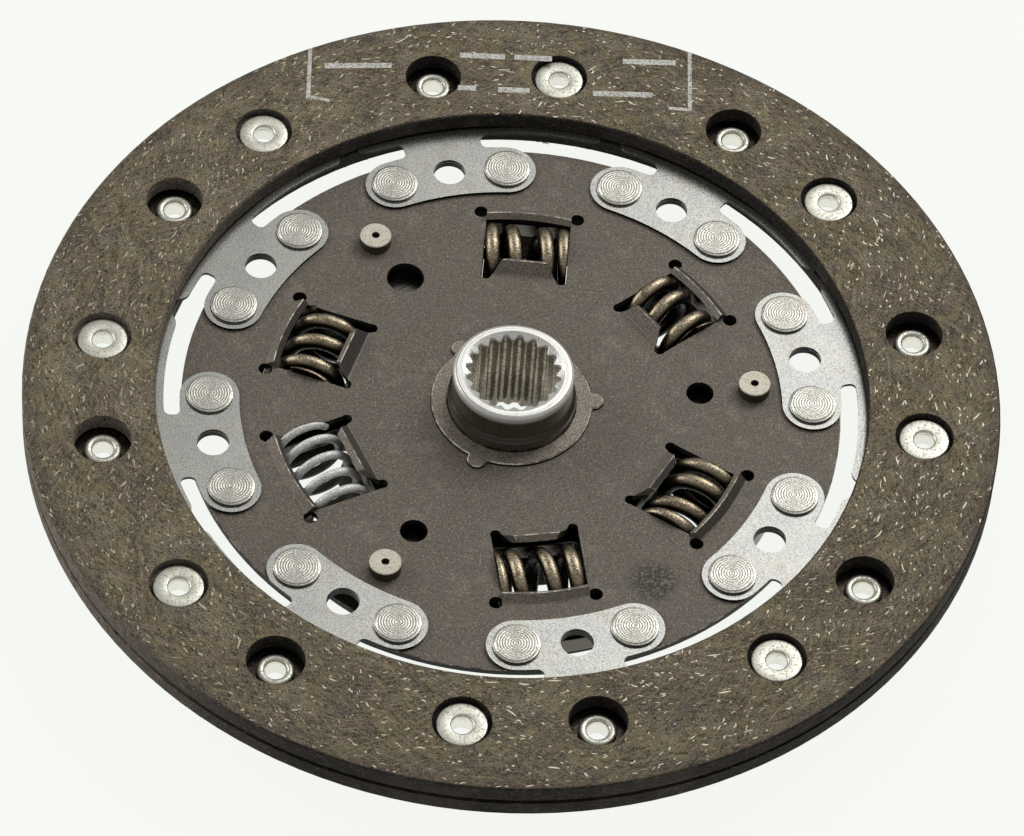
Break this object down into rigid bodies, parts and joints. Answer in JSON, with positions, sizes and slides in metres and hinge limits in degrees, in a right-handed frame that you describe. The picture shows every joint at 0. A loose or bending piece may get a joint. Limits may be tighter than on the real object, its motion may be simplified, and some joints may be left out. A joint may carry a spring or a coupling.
{
  "type": "clutch disc",
  "caption": "Single-plate clutch disc with two riveted friction facings, waved cushion segments, a spring damper and a splined hub.",
  "frame": {"origin": "on the hub axis, at the mid-plane between the two friction facings", "axes": "+Z along the hub axis towards the front friction face and the hub's long nose; +X and +Y across the disc"},
  "size_m": [0.18, 0.18, 0.0227],
  "materials": {
    "facing": "matt moulded yarn friction lining with brass flecks",
    "facing_rivet": "yellow zinc plated",
    "spring_sheet": "bare spring steel with straw heat tints",
    "steel_rivet": "turned rings",
    "side_plate": "dark phosphated steel, scratched",
    "pin": "pale tan plated",
    "hub_steel": "machined",
    "bush": "satin",
    "friction_washer": "matt",
    "heavy_spring": "oil-tempered, dark bronze",
    "light_spring": "bright drawn wire"
  },
  "bodies": {
    "plates": {"front_facing": "facing", "rear_facing": "facing", "front_facing_rivets": "facing_rivet", "rear_facing_rivets": "facing_rivet", "segment_rivets": "steel_rivet", "front_side_plate": "side_plate", "rear_side_plate": "side_plate", "front_friction_bush": "bush", "rear_friction_washer": "friction_washer", "thrust_ring": "side_plate", "diaphragm_spring": "spring_sheet", "cushion_segment_1": "spring_sheet", "cushion_segment_2": "spring_sheet", "cushion_segment_3": "spring_sheet", "cushion_segment_4": "spring_sheet", "cushion_segment_5": "spring_sheet", "cushion_segment_6": "spring_sheet", "cushion_segment_7": "spring_sheet", "cushion_segment_8": "spring_sheet", "stop_pin_1": "pin", "stop_pin_2": "pin", "stop_pin_3": "pin"},
    "hub": {"hub": "hub_steel"},
    "springs": {"damper_spring_1": "heavy_spring", "damper_spring_2": "heavy_spring", "damper_spring_3": "heavy_spring", "damper_spring_4": "heavy_spring", "damper_spring_5": "heavy_spring", "light_damper_spring": "light_spring"}
  },
  "joints": [
    {"name": "damper_twist", "type": "hinge", "parent": "plates", "child": "hub", "pos_m": [0, 0, 0], "axis": [0, 0, 1], "range_deg": [-5, 5], "stiffness_Nm_per_rad": 860},
    {"name": "spring_follow", "type": "hinge", "parent": "plates", "child": "springs", "pos_m": [0, 0, 0], "axis": [0, 0, 1], "range_deg": [-2.5, 2.5], "deforming": ["damper_spring_1", "damper_spring_2", "damper_spring_3", "damper_spring_4", "damper_spring_5", "light_damper_spring"]}
  ],
  "couplings": [
    {"joint": "spring_follow", "follows": "damper_twist", "ratio": 0.5}
  ]
}
